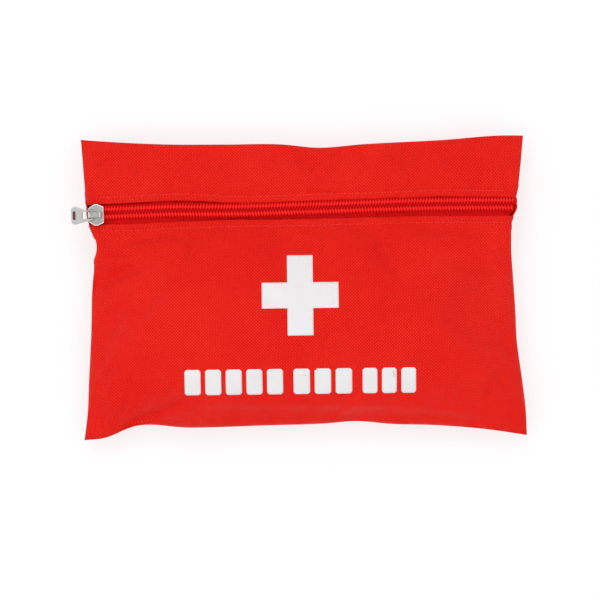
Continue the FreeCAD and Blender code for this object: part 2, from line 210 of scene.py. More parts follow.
def fill_pouch():
    """The places of the cloth's vertices, blown up a little but held at seams, zip and resting face."""
    start = np.concatenate([front_place.reshape(-1, 3), back_place[1:-1, 1:-1].reshape(-1, 3)])
    faces = quads(front_index) + [face[::-1] for face in quads(back_index)]
    cloth = mesh_piece("cloth", start, faces)
    held = cloth.vertex_groups.new(name="held")
    mouth = (share_low == 1) & (share_up == 0)
    held.add(front_index[on_seam | mouth].tolist(), 1.0, "REPLACE")
    held.add(back_index[(back_z < 1.2) & ~on_seam].tolist(), 1.0, "REPLACE")
    modifier = cloth.modifiers.new("Cloth", "CLOTH")
    cloth_settings = modifier.settings
    cloth_settings.quality = 6
    cloth_settings.mass = 0.05
    cloth_settings.tension_stiffness = 30
    cloth_settings.compression_stiffness = 30
    cloth_settings.shear_stiffness = 12
    cloth_settings.bending_stiffness = 0.6
    cloth_settings.tension_damping = 12
    cloth_settings.shrink_min = CLOTH_SPARE
    cloth_settings.vertex_group_mass = "held"
    cloth_settings.use_pressure = True
    cloth_settings.uniform_pressure_force = CLOTH_PRESSURE
    cloth_settings.effector_weights.gravity = 0
    modifier.collision_settings.use_collision = False
    modifier.point_cache.frame_start = 1
    modifier.point_cache.frame_end = CLOTH_STEPS
    for step in range(1, CLOTH_STEPS + 1):
        bpy.context.scene.frame_set(step)
    settled = cloth.evaluated_get(bpy.context.evaluated_depsgraph_get()).to_mesh()
    places = np.empty(len(settled.vertices) * 3)
    settled.vertices.foreach_get("co", places)
    bpy.context.scene.frame_set(1)
    bpy.data.objects.remove(cloth)
    move = places.reshape(-1, 3) - start
    length = np.linalg.norm(move, axis=1, keepdims=True)
    places = start + move * np.minimum(1, CLOTH_CAP / np.maximum(length, 1e-9))
    top_of_filling = (front_z - FILLING_GIVE).reshape(-1) * MM
    rise = places[:front_index.size, 2] - top_of_filling
    places[:front_index.size, 2] = top_of_filling + 0.5 * (rise + np.hypot(rise, 0.5 * MM))
    return places


filled = fill_pouch()


# ---- Back panel
# One sheet of red coated polyester. It lies flat on the table in the middle and turns up to the seams.
# The turned edge makes a narrow roll all round, and the gathered cloth puckers away from it.

CLOTH_THICK = 0.45 * MM
SEAM_ROLL = 0.75
PUCKER = 0.32


def finer(grid, times):
    """The same surface with each cell cut into times x times, on smooth curves through the old points."""
    for axis in (0, 1):
        g = np.moveaxis(grid, axis, 0)
        g = np.concatenate([2 * g[:1] - g[1:2], g, 2 * g[-1:] - g[-2:-1]])
        cells = len(g) - 3
        at = np.linspace(0, cells, cells * times + 1)
        i = np.clip(at.astype(int), 0, cells - 1)
        t = (at - i).reshape(-1, *[1] * (g.ndim - 1))
        a, b, c, d = g[i], g[i + 1], g[i + 2], g[i + 3]
        g = b + 0.5 * t * (c - a + t * (2 * a - 5 * b + 4 * c - d + t * (3 * (b - c) + d - a)))
        grid = np.moveaxis(g, 0, axis)
    return grid


def facing(grid):
    """Unit normals of a grid of places, upwards for a front."""
    normal = np.cross(np.gradient(grid, axis=1), np.gradient(grid, axis=0))
    return normal / np.linalg.norm(normal, axis=-1, keepdims=True)


def run(grid, axis):
    """Length along the cloth from its middle, in metres."""
    step = np.linalg.norm(np.diff(grid, axis=axis), axis=-1)
    length = np.cumsum(step, axis=axis)
    length = np.concatenate([np.zeros_like(np.take(length, [0], axis)), length], axis)
    return length - np.take(length, [length.shape[axis] // 2], axis)


def ripple(x, y, size, seed):
    """Gentle unevenness between -1 and 1, the same on every run. All lengths in millimetres."""
    places = np.stack([np.ravel(x) / size, np.ravel(y) / size], -1)
    values = [noise.noise(Vector((a, b, seed))) for a, b in places]
    return np.reshape(values, np.shape(x)) * 1.6


def sewn_surface(grid, seams, side):
    """Adds the roll and the puckers that the turned seam gives the cloth. seams says which of a grid's first
    row, last row, first column and last column are sewn; side is 1 for a front and -1 for a back."""
    count = grid.shape[0] - 1, grid.shape[1] - 1
    row, column = np.meshgrid(np.arange(count[0] + 1), np.arange(count[1] + 1), indexing="ij")
    pitch = np.linalg.norm(grid[0, -1] - grid[0, 0]) / count[1] / MM
    reach = [row, count[0] - row, column, count[1] - column]
    inside = np.min([r for r, sewn in zip(reach, seams) if sewn], axis=0) * pitch
    roll = SEAM_ROLL * (1 - np.exp(-inside / 0.8)) * np.exp(-inside / 9.0)
    x, y = grid[..., 0] / MM, grid[..., 1] / MM
    gathers = ripple(x, y, 4.2, 3.0 + side) * (1 - np.exp(-inside / 2.0)) * np.exp(-inside / 7.0)
    return grid + side * facing(grid) * ((roll + PUCKER * gathers) * MM)[..., None]


def cloth_piece(name, grid, flip=False, thick=CLOTH_THICK):
    """A sheet of cloth of real thickness from a grid of places, which keeps its lie on the flat."""
    index = np.arange(grid.shape[0] * grid.shape[1]).reshape(grid.shape[:2])
    faces = quads(index)
    piece = mesh_piece(name, grid, [face[::-1] for face in faces] if flip else faces)
    flat = np.stack([run(grid, 1), run(grid, 0), np.zeros(grid.shape[:2])], -1)
    mark_lie(piece, flat)
    thicken(piece, thick)
    return piece


def mark_lie(piece, lie):
    """Keeps a place on the flat with each vertex, for the material to go by."""
    mark = piece.data.attributes.new("flat", "FLOAT_VECTOR", "POINT")
    mark.data.foreach_set("vector", np.asarray(lie, np.float32).reshape(-1))


def thicken(piece, thick):
    """Gives a sheet its thickness, on its inner side."""
    solid = piece.modifiers.new("thickness", "SOLIDIFY")
    solid.thickness = thick
    solid.offset = -1
    shaped = bpy.data.meshes.new_from_object(piece.evaluated_get(bpy.context.evaluated_depsgraph_get()))
    piece.modifiers.clear()
    piece.data = shaped


class Value:
    """One number that varies over a surface, ready for sums."""

    def __init__(self, finish, socket):
        self.finish = finish
        self.socket = socket

    def sum(self, operation, *terms):
        return self.finish.node("ShaderNodeMath", {"operation": operation}, dict(enumerate(terms)))

    def __add__(self, other):
        return self.sum("ADD", self, other)

    def __sub__(self, other):
        return self.sum("SUBTRACT", self, other)

    def __mul__(self, other):
        return self.sum("MULTIPLY", self, other)

    def __truediv__(self, other):
        return self.sum("DIVIDE", self, other)

    def __mod__(self, other):
        return self.sum("FLOORED_MODULO", self, other)

    def __rsub__(self, other):
        return self.sum("SUBTRACT", other, self)

    __radd__ = __add__
    __rmul__ = __mul__

    def floor(self):
        return self.sum("FLOOR", self)

    def wave(self):
        """0 to 1 and back for each whole number."""
        return self.sum("ABSOLUTE", self.sum("SINE", self * math.pi))

    def clip(self):
        return self.finish.node("ShaderNodeClamp", {}, {0: self})


class Shading:
    """The nodes of a material or of the room's light."""

    def __init__(self, tree):
        self.tree = tree

    def node(self, kind, settings=None, values=None, output=0):
        """A node with its settings, then its inputs' values or links; gives one of its outputs."""
        node = self.tree.nodes.new(kind)
        for name, setting in (settings or {}).items():
            if name == "stops":
                ramp = node.color_ramp.elements
                while len(ramp) < len(setting):
                    ramp.new(0.5)
                for element, (position, grey) in zip(ramp, setting):
                    element.position = position
                    element.color = (grey, grey, grey, 1.0)
            else:
                setattr(node, name, setting)
        for key, value in (values or {}).items():
            if isinstance(value, Value):
                self.tree.links.new(value.socket, node.inputs[key])
            else:
                node.inputs[key].default_value = value
        return Value(self, node.outputs[output])

    def mix(self, share, first, second):
        """A colour between two colours."""
        return self.node("ShaderNodeMix", {"data_type": "RGBA"}, {0: share, 6: first, 7: second}, 2)

    def noise(self, scale, detail=2.0, place=None):
        """Soft noise around 0.5, by the piece's own coordinates unless a place is given."""
        place = place or self.node("ShaderNodeTexCoord", output="Object")
        return self.node("ShaderNodeTexNoise", {}, {"Vector": place, "Scale": scale, "Detail": detail})


class Finish(Shading):
    """A material being made up. Even values go straight on its shader; what varies is linked."""

    def __init__(self, name, colour, roughness, **even):
        self.material = bpy.data.materials.new(name)
        self.material.use_nodes = True
        super().__init__(self.material.node_tree)
        self.shader = self.tree.nodes["Principled BSDF"]
        even = {"Base Color": (*colour, 1.0), "Roughness": roughness, **even}
        for socket, value in even.items():
            self.shader.inputs[socket.replace("_", " ")].default_value = value

    def put(self, socket, value):
        """Links a value that varies to one of the shader's sockets."""
        self.tree.links.new(value.socket, self.shader.inputs[socket])

    def raise_surface(self, height, depth):
        """Relief: height from 0 to 1 stands depth metres high."""
        relief = self.node("ShaderNodeBump", {}, {"Height": height, "Distance": depth, "Strength": 1.0})
        self.put("Normal", relief)

    def on(self, *pieces):
        """Gives pieces this finish and no other."""
        for piece in pieces:
            piece.data.materials.clear()
            piece.data.materials.append(self.material)


YARN = 0.71 * MM
WEAVE_RELIEF = 0.16 * MM
RED = (0.80, 0.009, 0.007)
RED_DARK = (0.72, 0.0004, 0.0002)
# The lighter red is a painted highlight on the yarns on top.
RED_YARN_HIGHLIGHT = (1.0, 0.036, 0.019)


def shade(colour, times):
    """A colour made darker or lighter, with its alpha for a socket."""
    return (*[min(1.0, c * times) for c in colour[:3]], 1.0)


def plain_weave(finish, yarn):
    """A plain weave: gives its relief, and 1 where the yarn along the pouch is on top."""
    place = finish.node("ShaderNodeAttribute", {"attribute_name": "flat"}, output="Vector")
    warp = finish.node("ShaderNodeSeparateXYZ", {}, {0: place}, "X") / yarn
    weft = finish.node("ShaderNodeSeparateXYZ", {}, {0: place}, "Y") / yarn
    over = (warp.floor() + weft.floor()) % 2
    round_warp, round_weft = warp.wave(), weft.wave()
    warp_top = round_warp * (0.35 + 0.65 * round_weft)
    weft_top = round_weft * (0.35 + 0.65 * round_warp)
    return over * warp_top + (1 - over) * weft_top, over


def coated_polyester():
    """Red oxford cloth: a painted highlight lightens the yarns on top, and the dye is a little uneven."""
    finish = Finish("coated_polyester", RED, 0.42, Sheen_Weight=0.13, Sheen_Roughness=0.3,
                    Sheen_Tint=(1.0, 0.72, 0.70, 1.0), Specular_IOR_Level=0.08)
    relief, over = plain_weave(finish, YARN)
    drift = finish.noise(38.0, 3.0)
    yarn_drift = finish.noise(900.0, 1.0)
    # Painted highlight: raised yarns, most where the warp is on top, go towards the lighter red; the drifts
    # are dye.
    yarn_highlight_and_dye = 0.12 + relief * (0.10 + 0.72 * over) + 0.30 * (drift - 0.5) + 0.2 * (yarn_drift - 0.5)
    finish.put("Base Color", finish.mix(yarn_highlight_and_dye.clip(), (*RED_DARK, 1), (*RED_YARN_HIGHLIGHT, 1)))
    finish.put("Roughness", 0.52 - 0.18 * relief)
    finish.raise_surface(relief, WEAVE_RELIEF)
    return finish


pouch_cloth = coated_polyester()
back_grid = sewn_surface(finer(filled[back_index], 2), (True, True, True, True), -1)
back_grid[..., 2] = np.maximum(back_grid[..., 2], 0.15 * MM)
back = cloth_piece("pouch_back", back_grid, True)
pouch_cloth.on(back)
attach(back, "pouch")
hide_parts("back_panel")


# ---- Lower front panel
# The large front sheet, filled out by what is inside. Its upper edge is folded under along the zip and
# held to the tape by one row of stitches, which draws a shallow valley beside the fold.

STITCH_IN = 2.5
STITCH_PITCH = 2.9
CREASES = [(-79, -60, -55, -50.5, 1.8, -1.3), (-84, -52, -62, -45, 3.5, 0.9),
           (-40, -54, 14, -55.5, 2.6, -0.6), (16, -56, 23, -51, 1.8, 0.7), (30, -54, 80, -60, 2.6, -0.7),
           (-92, 3, -80, 8, 2.6, -1.2), (-92, 13, -78, 13, 2.5, 0.6), (-60, -4, -22, 14, 5, 0.5),
           (-52, -14, -12, -30, 6, -0.5), (62, -22, 88, -48, 4, 0.5), (84, -12, 90, -30, 2.5, -0.6),
           (40, 6, 66, -8, 5, -0.35), (-46, -50.5, 30, -52.5, 2.6, 0.7), (30, -52.5, 88, -59, 2.6, 0.8),
           (-44, -57.5, 60, -58, 2.0, -0.6)]
HEM_FOLD = [(0.22, -0.05), (0.40, -0.25), (0.40, -0.52), (0.12, -0.72)]
HEM_UNDER = [(3, -0.80), (7, -0.80)]
FINE = 3
zip_along = Vector(zip_axis)
zip_up = Vector((-zip_axis[1], zip_axis[0], 0))


def hemmed_surface(grid):
    """Adds the valley of the stitch row and the ripples of the fold to a front sheet beside the zip."""
    x, y = grid[..., 0] / MM, grid[..., 1] / MM
    off_line = y - zip_line(x)
    from_fold = np.abs(off_line) - np.where(off_line > 0, hem_high(x), hem_low(x))
    pull = 0.75 + 0.25 * np.cos(2 * math.pi * x / STITCH_PITCH)
    valley = -0.34 * pull * np.exp(-((from_fold - STITCH_IN) / 0.75) ** 2)
    ease = ripple(x, y * 0.25, 6.0, 9.0) * 0.22 * np.exp(-((from_fold - 1.5) / 5.0) ** 2)
    doubled = 0.35 * np.exp(-((from_fold - 1.1) / 1.2) ** 2)
    return grid + facing(grid) * ((valley + ease + doubled) * MM)[..., None]


def creased_surface(grid):
    """Adds the few creases that handling has left: where each runs from and to, its width and its lift."""
    x, y = grid[..., 0] / MM, grid[..., 1] / MM
    lift = np.zeros_like(x)
    for x0, y0, x1, y1, width, rise in CREASES:
        length = math.hypot(x1 - x0, y1 - y0)
        along = ((x - x0) * (x1 - x0) + (y - y0) * (y1 - y0)) / length
        aside = ((y - y0) * (x1 - x0) - (x - x0) * (y1 - y0)) / length
        past = np.maximum(0, np.maximum(-along, along - length))
        lift += rise * np.exp(-(aside / width) ** 2 - (past / (2 * width)) ** 2)
    return grid + facing(grid) * (lift * MM)[..., None]


def folded_edge(rows, towards):
    """Rows that carry an edge round and back under its own cloth. rows start at the edge."""
    fold = [rows[0] + towards * out * MM + np.array([0, 0, drop]) * MM for out, drop in HEM_FOLD]
    return np.stack(fold + [rows[count] + np.array([0, 0, drop]) * MM for count, drop in HEM_UNDER])


front_grid = finer(filled[front_index], FINE)
lower_grid = front_grid[:LOWER_ROWS * FINE + 1]
lower_grid = creased_surface(hemmed_surface(sewn_surface(lower_grid, (True, False, True, True), 1)))
lower_grid = np.concatenate([lower_grid, folded_edge(lower_grid[::-1], np.array(zip_up))])
lower_front = cloth_piece("pouch_front_lower", lower_grid)
pouch_cloth.on(lower_front)
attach(lower_front, "pouch")
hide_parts("front_lower_panel")


# ---- Upper front panel
# The narrow strip between the zip and the top seam. It lifts with the mouth when the slider is run back,
# but its two ends stay sewn into the side seams. It is made in two lengths.

MOUTH_BEND = {"left": (-95.0, -38.0), "right": (76.0, 24.0)}


def two_lengths(piece):
    """Parts a piece across its middle into a left and a right length. They keep the whole one's shading,
    so that the parting doesn't show."""
    whole = piece.data
    shading = [tuple(normal.vector) for normal in whole.vertex_normals]
    lengths = []
    for side, sign in (("left", -1), ("right", 1)):
        cut = bmesh.new()
        cut.from_mesh(whole)
        kept_shading = cut.verts.layers.float_vector.new("kept_shading")
        for vertex, normal in zip(cut.verts, shading):
            vertex[kept_shading] = normal
        away = [face for face in cut.faces if face.calc_center_median().x * sign < 0]
        bmesh.ops.delete(cut, geom=away, context="FACES")
        normals = [tuple(vertex[kept_shading]) for vertex in cut.verts]
        cut.verts.layers.float_vector.remove(kept_shading)
        mesh = whole.copy()
        cut.to_mesh(mesh)
        cut.free()
        mesh.normals_split_custom_set_from_vertices(normals)
        lengths.append(placed(f"{piece.name}_{side}", mesh))
    bpy.data.objects.remove(piece)
    return lengths


def lift_with_mouth(piece, node):
    """Parts a piece into two lengths and hides the CAD node it stands for."""
    lengths = two_lengths(piece)
    for length, (still, lifted) in zip(lengths, MOUTH_BEND.values()):
        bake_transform(length)
    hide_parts(node)


upper_grid = front_grid[(LOWER_ROWS + MOUTH_ROWS) * FINE:]
upper_grid = hemmed_surface(sewn_surface(upper_grid, (False, True, True, True), 1))
upper_grid = np.concatenate([folded_edge(upper_grid, -np.array(zip_up))[::-1], upper_grid])
upper_front = cloth_piece("pouch_front_upper", upper_grid)
pouch_cloth.on(upper_front)


def surface_finder(*pieces):
    """Gives the height and normal of the highest cloth over any place."""
    vertices, faces = [], []
    for piece in pieces:
        base = len(vertices)
        vertices += [v.co.copy() for v in piece.data.vertices]
        faces += [tuple(base + i for i in p.vertices) for p in piece.data.polygons]
    tree = BVHTree.FromPolygons(vertices, faces)

    def find(x, y):
        place, normal, face, distance = tree.ray_cast(Vector((x, y, 0.2)), Vector((0, 0, -1)))
        return place, normal

    return find


find_lower = surface_finder(lower_front)
find_upper = surface_finder(upper_front)
find_front = surface_finder(lower_front, upper_front)
lift_with_mouth(upper_front, "front_upper_panel")


# ---- Seam bindings
# Narrow woven tape folded over the raw edges inside the pouch and sewn through, one length to a side.
# Each lies just inside its seam, between the back and the front.

BINDING_THICK = 0.25 * MM
BINDING_LIFT = 0.35 * MM

between = finer((filled[front_index] + filled[back_index]) / 2, 2)
room = finer(filled[front_index] - filled[back_index], 2)[..., 2:]
beside_seam = {"left": lambda g: g[2:-2, 1:5].swapaxes(0, 1),
               "right": lambda g: g[2:-2, -5:-1][:, ::-1].swapaxes(0, 1),
               "top": lambda g: g[-5:-1, 2:-2][::-1],
               "bottom": lambda g: g[1:5, 2:-2]}


def binding(side):
    """A tape folded along one seam: out over the raw edge, round the fold, and back under it."""
    line, gap = beside_seam[side](between), beside_seam[side](room)
    lift = np.minimum(BINDING_LIFT, 0.3 * gap) * np.array([0, 0, 1.0])
    rows = [line[i] + lift[i] for i in (3, 2, 1)] + [line[0]] + [line[i] - lift[i] for i in (1, 2, 3)]
    piece = cloth_piece(f"binding_{side}", np.stack(rows), thick=BINDING_THICK)
    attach(piece, "pouch")
    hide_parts(f"{side}_seam_binding")
    return piece


seam_tape = Finish("seam_tape", (0.50, 0.012, 0.01), 0.8, Specular_IOR_Level=0.2)
relief, over = plain_weave(seam_tape, 0.4 * MM)
seam_tape.put("Base Color", seam_tape.mix(relief, shade(RED_DARK, 0.7), shade(RED_DARK, 1.1)))
seam_tape.raise_surface(relief, 0.1 * MM)
seam_tape.on(*[binding(side) for side in beside_seam])


# ---- Zip tapes
# Two woven tapes, dyed to match but a little deeper, one sewn under each folded edge. A thicker
# selvedge runs along the coil.

TAPE_THICK = 0.5 * MM
TAPE_LINES = [0.3, 0.6, 1.4, 2.6, 3.0, 3.4, 4.2, 6.0, 9.0, 13.6]
TAPE_ENDS = (-94.2, 95.8)
TAPE_STEPS = 156
SELVEDGE = 3.2
PARTING_START = -92.9
INSIDE_SEAM = 1.2
tape_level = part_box("lower_zip_tape")[1].z / MM
zip_middle = np.array([0.0, zip_start.y - zip_slope * zip_start.x, tape_level])


def by_zip(s, t, z):
    """Places, in metres, of points given along, across and above the zip in millimetres."""
    s, t, z = (np.asarray(a, float)[..., None] for a in np.broadcast_arrays(s, t, z))
    return (zip_middle + s * np.array(zip_along) + (t + zip_wave(s)) * np.array(zip_up)
            + z * np.array([0, 0, 1.0])) * MM


def tuck(piece, under):
    """Keeps a thing inside the pouch from pushing through the cloth that lies on it."""
    for vertex in piece.data.vertices:
        place, normal = find_front(vertex.co.x, vertex.co.y)
        if place:
            vertex.co.z = min(vertex.co.z, place.z - under * MM)


def tape(name, side):
    """The tape on one side of the zip. It is thicker at the selvedge by the coil, parts a little at the
    slider, and is caught in the side seams."""
    t = np.array(TAPE_LINES)[:, None]
    y = zip_start.y + side * t
    low = np.maximum(TAPE_ENDS[0], left(y) + INSIDE_SEAM * smooth((t - 3) / 2))
    high = np.minimum(TAPE_ENDS[1], right(y) - INSIDE_SEAM * smooth((t - 3) / 2))
    s = low + np.linspace(0, 1, TAPE_STEPS + 1)[None, :] * (high - low)
    parting = np.clip((PARTING_START - s) / 1.3, 0, 1) * 1.4 * np.clip(1 - (t - TAPE_LINES[0]) / 3.0, 0, 1)
    z = -0.04 + 0.03 * np.sin(s * 1.7 + t) - 0.05 * (t > SELVEDGE)
    grid = by_zip(s, side * (t + parting), z)
    piece = cloth_piece(name, grid if side > 0 else grid[::-1], thick=TAPE_THICK)
    tuck(piece, 1.25)
    return piece


zip_tape = Finish("zip_tape", (0.56, 0.004, 0.004), 0.75, Sheen_Weight=0.04, Specular_IOR_Level=0.15)
relief, over = plain_weave(zip_tape, 0.42 * MM)
zip_tape.put("Base Color", zip_tape.mix((0.25 + 0.6 * relief).clip(),
                                        (0.84, 0.001, 0.001, 1), (1.0, 0.007, 0.007, 1)))
zip_tape.raise_surface(relief, 0.12 * MM)
lower_tape, upper_tape = tape("zip_tape_lower", -1), tape("zip_tape_upper", 1)
zip_tape.on(lower_tape, upper_tape)
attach(lower_tape, "pouch")
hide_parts("lower_zip_tape")
lift_with_mouth(upper_tape, "upper_zip_tape")


# ---- Zip coils
# Each is one nylon monofilament wound round a soft cord and sewn to its tape's edge. The turns of the
# two coils sit half a pitch apart, so their heads lock while the slider has shut them.

COIL_PITCH = 1.32
COIL_REACH = 1.38
COIL_RISE = 0.66
COIL_AXIS = (1.45, 1.00)
COIL_SQUARE = 0.85
WIRE = 0.60
HEAD_WIRE = 0.46
CORD = 0.84
COIL_ENDS = (-92.6, 93.4)
TURN_STEPS = 16
WIRE_SIDES = 8


def tube(places, radii, sides):
    """Vertices and faces of a round tube along places, closed at both ends."""
    places = np.asarray(places)
    count = len(places)
    ahead = np.gradient(places, axis=0)
    ahead /= np.linalg.norm(ahead, axis=1, keepdims=True)
    side = np.cross(ahead, np.array([0.94, 0.05, 0.34]))
    side /= np.linalg.norm(side, axis=1, keepdims=True)
    other = np.cross(ahead, side)
    turn = np.linspace(0, 2 * math.pi, sides, endpoint=False)
    ring = side[:, None] * np.cos(turn)[None, :, None] + other[:, None] * np.sin(turn)[None, :, None]
    vertices = (places[:, None] + ring * np.reshape(radii, (-1, 1, 1))).reshape(-1, 3)
    faces = []
    for i in range(count - 1):
        for k in range(sides):
            corners = ((i, k), (i, (k + 1) % sides), (i + 1, (k + 1) % sides), (i + 1, k))
            faces.append(tuple(row * sides + spoke for row, spoke in corners))
    faces.append(tuple(range(sides))[::-1])
    faces.append(tuple(range((count - 1) * sides, count * sides)))
    return vertices, faces


def joined(name, parts):
    """One object from several sets of vertices and faces."""
    vertices, faces = [], []
    for places, corners in parts:
        faces += [tuple(c + len(vertices) for c in face) for face in corners]
        vertices += [tuple(p) for p in places]
    return mesh_piece(name, vertices, faces)


def coil(name, side):
    """Turns of monofilament and the cord inside them, on one side of the zip."""
    turns = round((COIL_ENDS[1] - COIL_ENDS[0]) / COIL_PITCH)
    angle = np.linspace(0, 2 * math.pi * turns, turns * TURN_STEPS + 1)
    in_out, up_down = np.cos(angle), np.sin(angle)
    t = COIL_AXIS[0] - COIL_REACH * np.sign(in_out) * np.abs(in_out) ** COIL_SQUARE
    z = COIL_AXIS[1] + COIL_RISE * np.sign(up_down) * np.abs(up_down) ** COIL_SQUARE
    s = COIL_ENDS[0] + COIL_PITCH * (angle / (2 * math.pi)) + (COIL_PITCH / 2 if side > 0 else 0)
    radii = (WIRE - (WIRE - HEAD_WIRE) * (0.5 + 0.5 * in_out) ** 2) * MM
    wire = tube(by_zip(s, side * t, z), radii, WIRE_SIDES)
    cord_s = np.linspace(*COIL_ENDS, 60)
    cord = tube(by_zip(cord_s, side * COIL_AXIS[0], COIL_AXIS[1] - 0.02), np.full(60, CORD * MM), 12)
    piece = joined(name, [wire, cord])
    places = np.array([v.co for v in piece.data.vertices])
    off_line = np.abs(places[:, 1] - zip_line(places[:, 0] / MM) * MM)
    # The finish reads the distance from the heads and the height above the tape to paint highlight and shade.
    mark_lie(piece, np.stack([places[:, 0], off_line, places[:, 2] - tape_level * MM], -1))
    return piece


def dyed_nylon():
    """Dyed monofilament: painted highlight on the crowns, painted shade between the turns and at the heads.
    """
    finish = Finish("nylon_coil", (0.70, 0.010, 0.010), 0.45, Specular_IOR_Level=0.16)
    place = finish.node("ShaderNodeAttribute", {"attribute_name": "flat"}, output="Vector")
    height = finish.node("ShaderNodeSeparateXYZ", {}, {0: place}, "Z") / (2.2 * MM)
    from_heads = finish.node("ShaderNodeSeparateXYZ", {}, {0: place}, "Y") / MM
    streak = finish.noise(260.0, 2.0)
    # Painted light: high crowns go towards the light red, low turns and the heads towards the dark red.
    painted_crown_highlight = (2.4 * height - 1.4 + 0.3 * (streak - 0.5)).clip() * (3.0 * from_heads - 2.8).clip()
    painted_crown_highlight = painted_crown_highlight * (5.4 - 2.1 * from_heads).clip()
    finish.put("Base Color", finish.mix(painted_crown_highlight, (0.68, 0.001, 0.001, 1), (0.93, 0.013, 0.011, 1)))
    finish.put("Roughness", 0.40 + 0.14 * streak)
    return finish


nylon = dyed_nylon()
lower_coil, upper_coil = coil("zip_coil_lower", -1), coil("zip_coil_upper", 1)
nylon.on(lower_coil, upper_coil)
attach(lower_coil, "pouch")
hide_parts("lower_coil")
lift_with_mouth(upper_coil, "upper_coil")


# ---- Topstitching
# One row of matching polyester thread beside each fold, about nine stitches to the inch. Each stitch
# stands a little proud in its middle and dives into the cloth at its ends.

THREAD = 0.22
STITCH_GAP = 0.55
STITCH_ENDS = (-90.5, 90.5)


def stitch_row(name, side, hem, find):
    """Separate stitches along a line beside the fold, each lying on the cloth."""
    parts = []
    for number in range(math.ceil(STITCH_ENDS[0] / STITCH_PITCH), math.floor(STITCH_ENDS[1] / STITCH_PITCH)):
        s = (number + np.linspace(0, 1, 9) * (1 - STITCH_GAP / STITCH_PITCH)) * STITCH_PITCH
        line = by_zip(s, side * (hem(s) + STITCH_IN + 0.06 * math.sin(number * 2.4)), 0.0)
        arch = 0.17 * np.sin(np.linspace(0, math.pi, 9)) - 0.10
        places = []
        for point, rise in zip(line, arch):
            place, normal = find(point[0], point[1])
            places.append(np.array(place) + np.array(normal) * rise * MM)
        parts.append(tube(places, np.full(9, THREAD * MM), 6))
    return joined(name, parts)


thread = Finish("sewing_thread", (0.80, 0.012, 0.010), 0.6, Sheen_Weight=0.1, Specular_IOR_Level=0.2)
twist = thread.node("ShaderNodeTexWave", {"bands_direction": "DIAGONAL"},
                    {"Vector": thread.node("ShaderNodeTexCoord", output="Object"), "Scale": 900.0})
thread.put("Base Color", thread.mix(twist, (0.80, 0.008, 0.006, 1), (0.98, 0.034, 0.026, 1)))
thread.raise_surface(twist, 0.05 * MM)
lower_stitches = stitch_row("topstitch_lower", -1, hem_low, find_lower)
upper_stitches = stitch_row("topstitch_upper", 1, hem_high, find_upper)
thread.on(lower_stitches, upper_stitches)
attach(lower_stitches, "pouch")
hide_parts("lower_topstitch")
lift_with_mouth(upper_stitches, "upper_topstitch")


# ---- Slider
# A die-cast slider, bright nickel plated: two plates joined by a post, with short rails that steer the
# tapes, and a strap on top that carries the pull. Painted shade darkens its corners and gaps.


def nickel(name, colour, roughness, grain, depth):
    """Plated zinc: metal with a soft grain and small marks, and painted shade where it is hard to reach."""
    finish = Finish(name, colour, roughness, Metallic=1.0)
    marks = finish.noise(grain, 4.0)
    fine = finish.noise(grain * 6, 2.0)
    # Painted shade: ambient occlusion darkens the colour to a third in corners and between parts.
    painted_shade_ao = finish.node("ShaderNodeAmbientOcclusion", {"samples": 8}, {"Distance": 2.4 * MM}, "AO")
    marks_and_painted_shade = (0.60 + 0.25 * marks) * (2.2 * painted_shade_ao - 0.95).clip() + 0.10
    finish.put("Base Color", finish.mix(marks_and_painted_shade.clip(), shade(colour, 0.32), shade(colour, 1.06)))
    finish.put("Roughness", (roughness - 0.10 + 0.24 * marks).clip())
    finish.raise_surface(0.7 * marks + 0.3 * fine, depth)
    return finish


PLATE_TOP = 1.1
PLATE_BOTTOM = 1.0
RAIL_DEPTH = 0.75
OVERLAP = 0.1
PLATE_OUTLINE = [(-3.5, -2.9, 0.5), (-0.7, -4.8, 1.0), (0.7, -4.8, 1.0), (3.5, -3.6, 0.5),
                 (3.5, 3.6, 0.5), (0.7, 4.8, 1.0), (-0.7, 4.8, 1.0), (-3.5, 2.9, 0.5)]
RAIL_OUTLINE = [(-2.9, 3.05, 0.05), (-0.7, 4.55, 0.3), (0.7, 4.55, 0.3), (3.1, 3.5, 0.05),
                (3.1, 3.0, 0.05), (0.6, 4.05, 0.3), (-0.6, 4.05, 0.3), (-2.9, 2.5, 0.05)]
POST_OUTLINE = [(-3.3, -0.6, 0.2), (-2.3, -0.6, 0.2), (-1.9, 0.0, 0.1), (-2.3, 0.6, 0.2), (-3.3, 0.6, 0.2)]


def rounded(corners):
    """Points round an outline whose corners each have a radius."""
    points = []
    count = len(corners)
    for i, (x, y, radius) in enumerate(corners):
        here = Vector((x, y))
        before = (Vector(corners[i - 1][:2]) - here).normalized()
        after = (Vector(corners[(i + 1) % count][:2]) - here).normalized()
        reach = radius / math.tan(before.angle(after) / 2)
        start, end = here + before * reach, here + after * reach
        for t in np.linspace(0, 1, 7):
            points.append(start * (1 - t) ** 2 + here * (2 * t * (1 - t)) + end * t ** 2)
    return points


def stamped(outlines, low, high, edge):
    """Mesh of a flat plate with eased edges, from an outline and the holes in it. All in millimetres."""
    curve = bpy.data.curves.new("pattern", "CURVE")
    curve.dimensions = "2D"
    curve.fill_mode = "BOTH"
    curve.extrude = ((high - low) / 2 - edge) * MM
    curve.bevel_depth = edge * MM
    curve.offset = -edge * MM
    curve.bevel_resolution = 3
    for outline in outlines:
        points = rounded(outline)
        spline = curve.splines.new("POLY")
        spline.points.add(len(points) - 1)
        for place, point in zip(spline.points, points):
            place.co = (point.x * MM, point.y * MM, 0, 1)
        spline.use_cyclic_u = True
    pattern = placed("pattern", curve)
    mesh = bpy.data.meshes.new_from_object(pattern.evaluated_get(bpy.context.evaluated_depsgraph_get()))
    bpy.data.objects.remove(pattern)
    mesh.transform(Matrix.Translation((0, 0, (low + high) / 2 * MM)))
    return mesh


